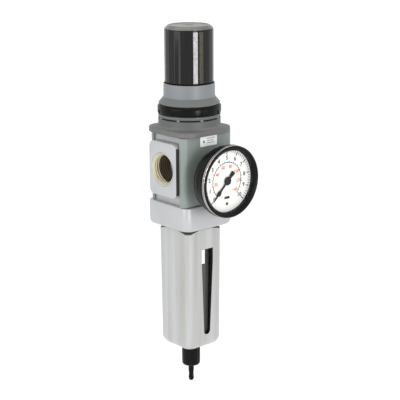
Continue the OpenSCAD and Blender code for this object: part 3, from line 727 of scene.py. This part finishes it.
low, top, rim = drain_low.z, guard_low.z - 0.3, drain_high.x
stem, stem_top, bore, socket_r = 2.9, drain_high.z, 1.1, 2.05
verts, faces = revolve(soften([
    (socket_r, low + 5), (socket_r, low, 0.2), (rim - 0.9, low, 0.5), (rim - 0.1, low + 0.9, 0.5),
    (rim, low + 1.8, 0.3), (rim, low + 6), (rim, low + 12.5), (rim, top - 1.4, 0.3),
    (rim - 0.4, top - 0.3, 0.5), (rim - 1.2, top, 0.3), (stem, top), (stem, stem_top), (bore, stem_top),
    (bore, low + 5)],
    closed=True), count=192, closed=True, shape=ribbed)
piece("drain_grip", verts, faces, "drain_knob")

# The hose nipple's barb, waist and shank, from the ground up
shank, bore, height = 1.98, 1.05, 18
verts, faces = revolve(soften([
    (bore, 0), (1.5, 0, 0.25), (1.95, 1.6, 0.5), (shank, 2.6, 0.4), (1.72, 3.8, 0.5), (1.76, 6, 0.6),
    (shank, 7.6, 0.6), (shank, height), (bore, height)], closed=True), count=48, closed=True)
piece("drain_nipple", verts, faces, "drain_spigot")

# ---------- gauge ----------

back, rim_y = -case_high.y, -case_low.y
stem_hole, can_r = 4.35, 23.2
verts, faces = revolve(soften([
    (stem_hole, back, 0.2), (18.2, back, 0.8), (21.5, back + 1.6, 1.6), (can_r, back + 5.6, 1.8),
    (can_r, rim_y), (21.75, rim_y), (21.7, back + 6, 1), (20.6, back + 3.3, 1), (18, back + 1.5, 0.5),
    (stem_hole, back + 1.5)],
    steps=5, closed=True), count=128, place=place_gauge, closed=True)
piece("gauge_can", verts, faces, "gauge_case")

rear, front, rim = -bezel_high.y, -bezel_low.y, bezel_high.x
seat, opening, groove = 23.25, 20.95, rim - 0.35
verts, faces = revolve(soften([
    (seat, rear), (24.1, rear, 0.2), (rim, rear + 0.6, 0.4), (rim, front - 2.5, 0.15),
    (groove, front - 2.3, 0.1), (groove, front - 1.8, 0.1), (rim, front - 1.6, 0.2),
    (rim - 0.15, front - 0.8, 0.3), (rim - 0.9, front, 0.4), (22.7, front, 0.8), (opening, front - 1.5, 0.3),
    (opening, front - 2.0), (seat, front - 2.0)],
    steps=4, closed=True), count=160, place=place_gauge, closed=True)
piece("bezel_ring", verts, faces, "gauge_bezel")
# Two bright rings let into the bezel
inside, outside = rim - 0.6, rim - 0.1
for number, depth in enumerate((2.05, 0.9)):
    verts, faces = revolve(soften([
        (inside, front - depth - 0.3, 0.1), (outside, front - depth - 0.25, 0.1),
        (outside, front - depth + 0.25, 0.1), (inside, front - depth + 0.3, 0.1)], closed=True),
        count=160, place=place_gauge, closed=True)
    piece(f"bezel_trim{number}", verts, faces, body="root", slot="steel", mat=CHROME)

rear, front, rim = -lens_high.y, -lens_low.y, 20.8
verts, faces = revolve(soften([
    (AXIS, rear), (rim, rear), (rim, front - 0.25, 0.1), (14, front + 0.1), (7, front + 0.28),
    (AXIS, front + 0.35)]), count=96, place=place_gauge)
piece("gauge_glass", verts, faces, "gauge_lens")

dial_face, rear, rim, bore = -dial_low.y, -dial_high.y, 21.4, 1.45
disc = [(bore, rear), (rim, rear), (rim, dial_face, 0.15), (bore, dial_face)]
verts, faces = revolve(soften(disc, closed=True), count=128, place=place_gauge, closed=True)
piece("dial_plate", verts, faces, "gauge_dial")

# Dial print: scale angles are compass angles, clockwise from the top
SCALE_START, SCALE_SWEEP = 225.0, 270.0
print_base = dial_face - 0.01


def dial_point(radius, compass, side=0.0):
    """A point of the dial at a radius and compass angle, moved sideways off that ray."""
    a = math.radians(compass)
    return (radius * math.sin(a) + side * math.cos(a), gauge_z + radius * math.cos(a) - side * math.sin(a))


def join(parts):
    """One vertex and face list out of several."""
    verts, faces = [], []
    for v, f in parts:
        base = len(verts)
        verts += v
        faces += [tuple(i + base for i in poly) for poly in f]
    return verts, faces


def stroke(r0, r1, compass, half_width):
    """A graduation mark from radius r0 to r1."""
    corners = [dial_point(r0, compass, -half_width), dial_point(r1, compass, -half_width),
               dial_point(r1, compass, half_width), dial_point(r0, compass, half_width)]
    return loft([[(u, -(print_base + d), v) for u, v in corners] for d in (0.0, print_rise)])


def arc(radius, width, start, sweep, count):
    """A printed line of even width, part of a circle."""
    rings = []
    for i in range(count + 1):
        compass = start + sweep * i / count
        inner, outer = dial_point(radius - width / 2, compass), dial_point(radius + width / 2, compass)
        rings.append([(u, -(print_base + d), v) for (u, v), d in
                      ((inner, 0.0), (outer, 0.0), (outer, print_rise), (inner, print_rise))])
    return loft(rings)


ticks = []
for i in range(51):
    compass = SCALE_START + SCALE_SWEEP * i / 50
    if i % 5 == 0:
        ticks.append(stroke(18.0, 20.6, compass, 0.34))
    else:
        ticks.append(stroke(19.2, 20.6, compass, 0.2))
verts, faces = join(ticks)
piece("dial_ticks", verts, faces, body="root", slot="dial_white", mat=INK)
marks = [arc(12.5, 0.45, SCALE_START, SCALE_SWEEP, 72)]
for i in range(31):
    compass = SCALE_START + SCALE_SWEEP * i / 30
    marks.append(stroke(12.5, 13.7 if i % 2 == 0 else 13.2, compass, 0.2))
verts, faces = join(marks)
piece("dial_inner_ticks", verts, faces, body="root", slot="dial_white", mat=INK)


def figures(name, labels, radius, height, mat):
    """Numbers set round the dial, as thin solid figures joined into one piece."""
    found = []
    for text, compass in labels:
        curve = bpy.data.curves.new(name, "FONT")
        curve.body = text
        curve.size = height
        curve.align_x, curve.align_y = "CENTER", "CENTER"
        curve.extrude = 0.03
        curve.offset = 0.09
        curve.resolution_u = 3
        holder = bpy.data.objects.new(name, curve)
        scene.collection.objects.link(holder)
        graph = bpy.context.evaluated_depsgraph_get()
        graph.update()
        mesh = bpy.data.meshes.new_from_object(holder.evaluated_get(graph))
        u, v = dial_point(radius, compass)
        verts = [(u + p.co.x, -(dial_face + 0.02 + p.co.z), v + p.co.y) for p in mesh.vertices]
        found.append((verts, [tuple(poly.vertices) for poly in mesh.polygons]))
        bpy.data.objects.remove(holder)
        bpy.data.meshes.remove(mesh)
    verts, faces = join(found)
    return piece(name, verts, faces, body="root", slot="dial_white", mat=mat)


outer = [(str(n), SCALE_START + SCALE_SWEEP * n / 10) for n in range(11)]
figures("dial_figures", outer, 15.7, 3.9, INK)
inner = [(str(n), SCALE_START + SCALE_SWEEP * n / 140) for n in range(0, 141, 20)]
figures("dial_inner_figures", inner, 9.9, 3.2, ORANGE)
tag = [(x, gauge_z - 11.4 + z) for x, z in outline(2.3, 0.85, 0.3, 4, 1)]
mark("dial_tag", tag, print_base, print_rise, "root", INK, "dial_white")
spot = round_of(24, 1.05, 0, gauge_z - 15.6)
mark("dial_spot", spot, print_base, print_rise, "root", INK, "dial_white")

# Pointer: tapered tail, hub, thick arm with a block, thin tip
pointer_y = -span("gauge_pointer")[1].y
arm = [(0.18, 17.9), (0.5, 12.3), (1.5, 11.9), (1.5, 9.3), (0.75, 9.2), (0.6, 2.4)]
tail = [(0.8, -2.4), (1.7, -7.2), (1.0, -7.7)]
left_arm, left_tail = [[(-s, r) for s, r in half[::-1]] for half in (arm, tail)]
shape = [dial_point(r, SCALE_START, s) for s, r in left_arm + arm + tail + left_tail]
verts, faces = loft([[(u, -(pointer_y + d), v) for u, v in shape] for d in (0.05, 0.45)])
piece("pointer_hand", verts, faces, "gauge_pointer", bevel=0.06)
hub = [(AXIS, 0.02), (2.7, 0.02, 0.1), (3.0, 0.4, 0.2), (2.6, 0.85, 0.3), (0.9, 0.95, 0.1), (0.7, 0.8, 0.1),
       (AXIS, 0.8)]
verts, faces = revolve(soften([(r, pointer_y + h, *fillet) for r, h, *fillet in hub]),
                       count=48, place=place_gauge)
piece("pointer_hub", verts, faces, body="gauge_hand", slot="pointer_black")

# ---------- finishes of the CAD nodes that stay ----------

for name, node in frame["nodes"].items():
    node.data.materials.clear()
    node.data.materials.append(MATERIALS[slot_of[name]])

# ---------- camera, floor and light ----------

AZIMUTH, ELEVATION, ROLL = math.radians(-40.5), math.radians(14.9), math.radians(-0.41)
DISTANCE = 834.8
target = Vector((0, 0, 133.4)) * MM
level = math.cos(ELEVATION)
towards = Vector((math.sin(AZIMUTH) * level, -math.cos(AZIMUTH) * level, math.sin(ELEVATION)))
camera = bpy.data.objects.new("camera", bpy.data.cameras.new("camera"))
scene.collection.objects.link(camera)
camera.data.lens = 108.8
camera.data.sensor_width = 36
camera.data.shift_x = 0.025
camera.location = target + towards * DISTANCE * MM
camera.rotation_mode = "QUATERNION"
camera.rotation_quaternion = (-towards).to_track_quat("-Z", "Y") @ Quaternion((0, 0, 1), ROLL)
camera.data.clip_start, camera.data.clip_end = 0.01, 50
scene.camera = camera

floor_mesh = bpy.data.meshes.new("floor")
FLOOR_HALF, FLOOR_Z = 9, -0.36  # metres
quarters = ((-1, -1), (1, -1), (1, 1), (-1, 1))
floor_corners = [(sx * FLOOR_HALF, sy * FLOOR_HALF, FLOOR_Z) for sx, sy in quarters]
floor_mesh.from_pydata(floor_corners, [], [(0, 1, 2, 3)])
floor = bpy.data.objects.new("floor", floor_mesh)
scene.collection.objects.link(floor)
floor_paint = surface("floor_paint", (0.93, 0.93, 0.93), 0.85, mottle=0.01, grain=20, bump=0.0)
floor_paint.node_tree.nodes["Principled BSDF"].inputs["Emission Color"].default_value = (1, 1, 1, 1)
floor_paint.node_tree.nodes["Principled BSDF"].inputs["Emission Strength"].default_value = 0.14
floor_mesh.materials.append(floor_paint)


def lamp(name, place, aim, width, height, power, colour=(1, 1, 1)):
    """A rectangular soft light; places are in millimetres."""
    data = bpy.data.lights.new(name, "AREA")
    data.shape = "RECTANGLE"
    data.size, data.size_y = width * MM, height * MM
    data.energy = power
    data.color = colour
    made = bpy.data.objects.new(name, data)
    scene.collection.objects.link(made)
    made.location = Vector(place) * MM
    made.rotation_mode = "QUATERNION"
    made.rotation_quaternion = ((Vector(aim) - Vector(place)) * MM).to_track_quat("-Z", "Y")
    return made


lamp("key", (-1100, 0, 500), (0, 0, 140), 700, 700, 4)
lamp("top", (0, 100, 1100), (0, 0, 140), 900, 900, 2)
lamp("strip", (-73, -395, 177), (0, 0, 177), 28, 150, 0.5)
lamp("warm_strip", (122, -381, 177), (0, 0, 177), 14, 150, 0.06, (1, 0.9, 0.66))

world = bpy.data.worlds.new("studio")
scene.world = world
world.use_nodes = True
world.node_tree.nodes["Background"].inputs["Color"].default_value = (1, 1, 1, 1)
world.node_tree.nodes["Background"].inputs["Strength"].default_value = 1.0
scene.view_settings.view_transform = "Standard"
